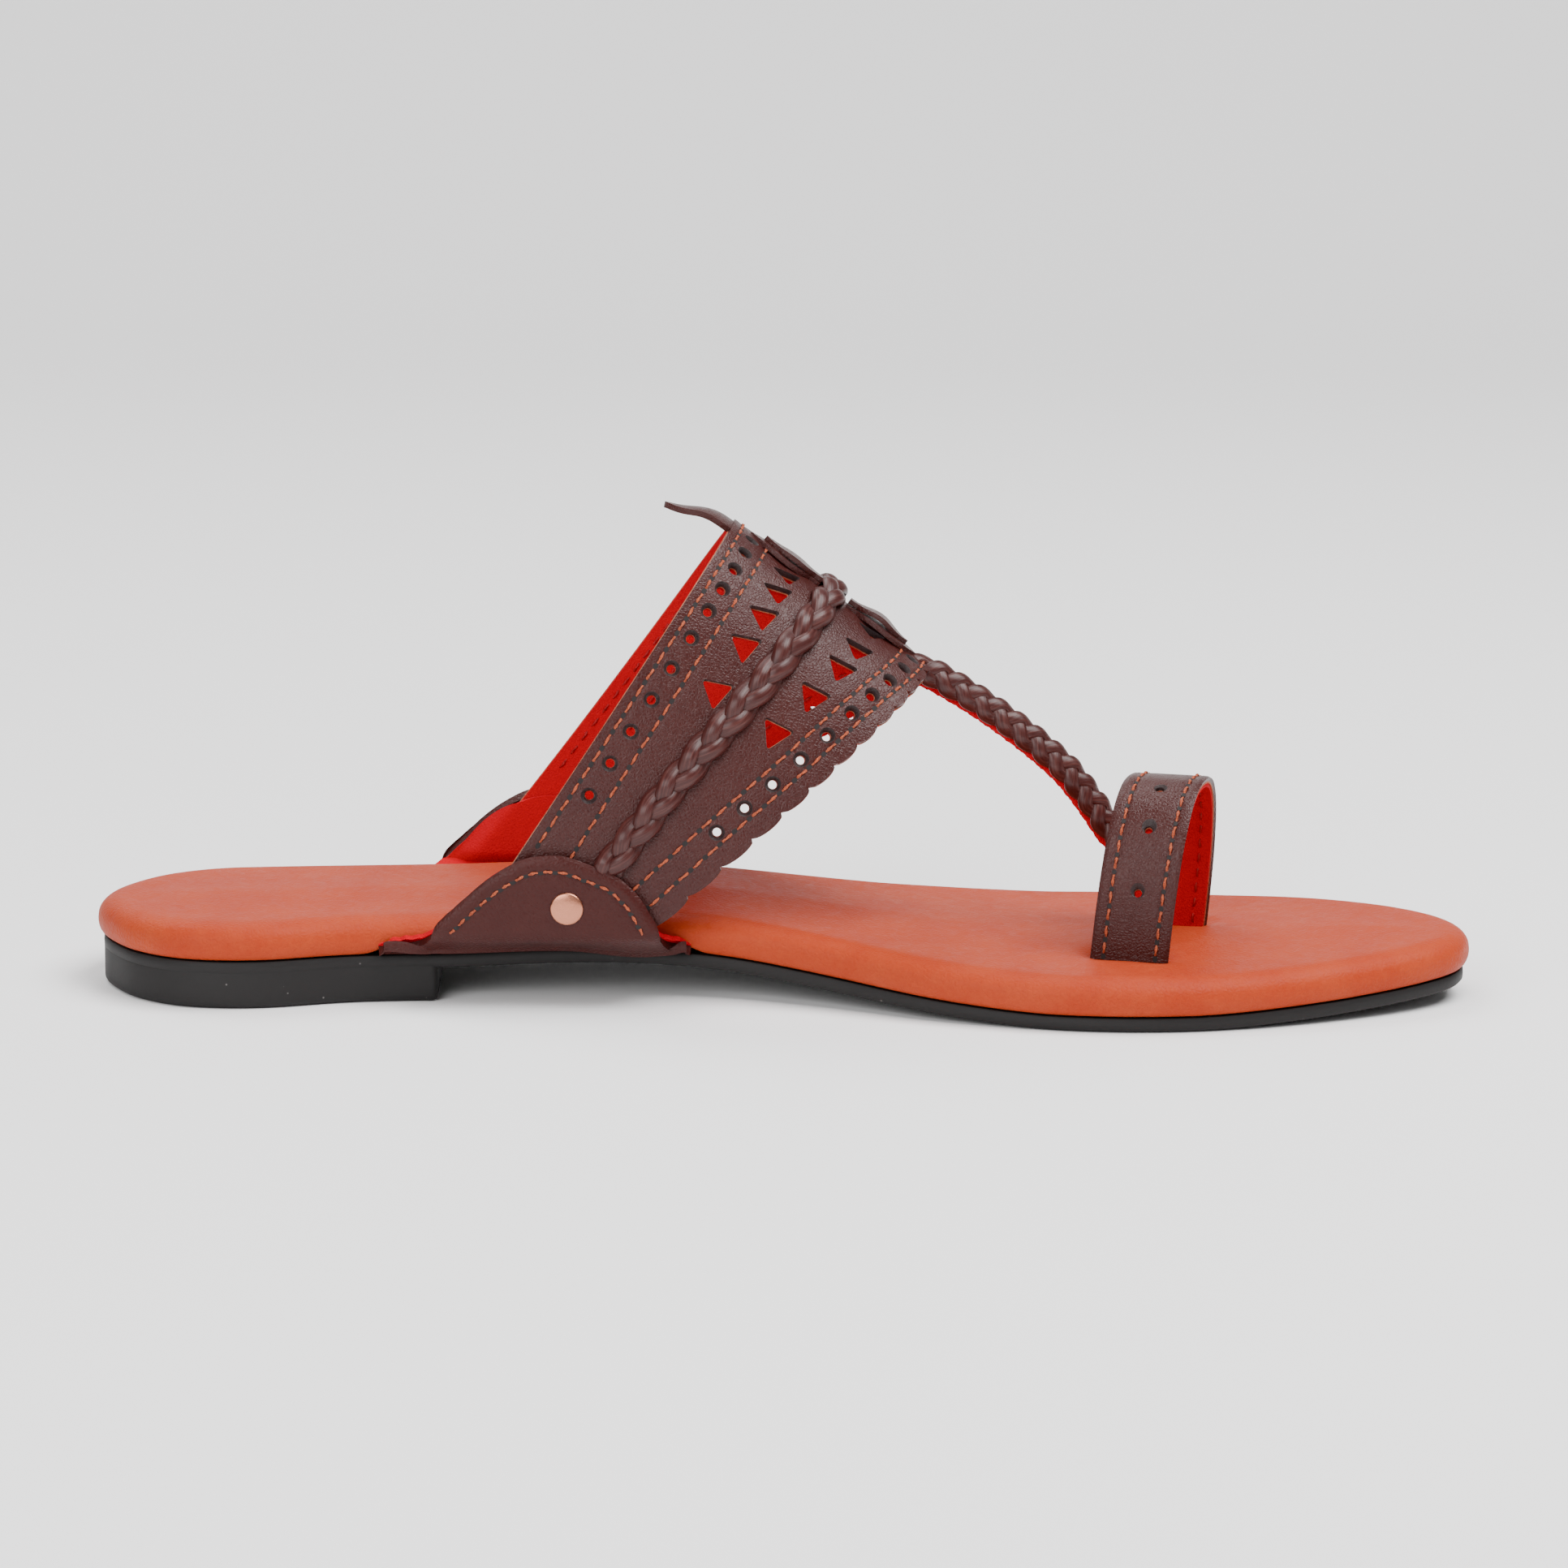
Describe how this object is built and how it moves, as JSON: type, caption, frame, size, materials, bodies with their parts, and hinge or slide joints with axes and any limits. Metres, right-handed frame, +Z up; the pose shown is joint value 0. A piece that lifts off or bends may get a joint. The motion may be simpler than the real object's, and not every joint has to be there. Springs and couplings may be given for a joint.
{
  "type": "kolhapuri sandal",
  "caption": "Flat left sandal with a punched, scalloped instep strap, a plaited toe strap, a big-toe loop, riveted side flaps and a padded footbed on a thin rubber outsole with a low heel.",
  "frame": {"origin": "ground level under the middle of the heel block, 30 mm ahead of the back of the heel", "axes": "+X along the sole to the toes, +Y to the outer side of the foot, +Z up"},
  "size_m": [0.25, 0.0844, 0.0877],
  "materials": {
    "outsole_rubber": "matt black sheet rubber",
    "heel_rubber": "matt black block rubber",
    "footbed_leather": "orange-tan soft grain over foam",
    "upper_leather": "dark brown smooth grain with a red lining",
    "flap_leather": "dark brown smooth grain",
    "braid_leather": "dark brown plaited thongs",
    "leaf_leather": "dark brown cut leather",
    "rivet_copper": "plain copper"
  },
  "bodies": {
    "root": {"outsole": "outsole_rubber", "heel_block": "heel_rubber", "footbed": "footbed_leather", "upper": "upper_leather", "side_flap_inner": "flap_leather", "side_flap_outer": "flap_leather", "rivet_inner": "rivet_copper", "rivet_outer": "rivet_copper", "cross_braid": "braid_leather", "rosette_back_base": "leaf_leather", "rosette_back_top": "leaf_leather", "rosette_front_base": "leaf_leather", "rosette_front_top": "leaf_leather", "back_leaf": "leaf_leather"}
  },
  "joints": []
}
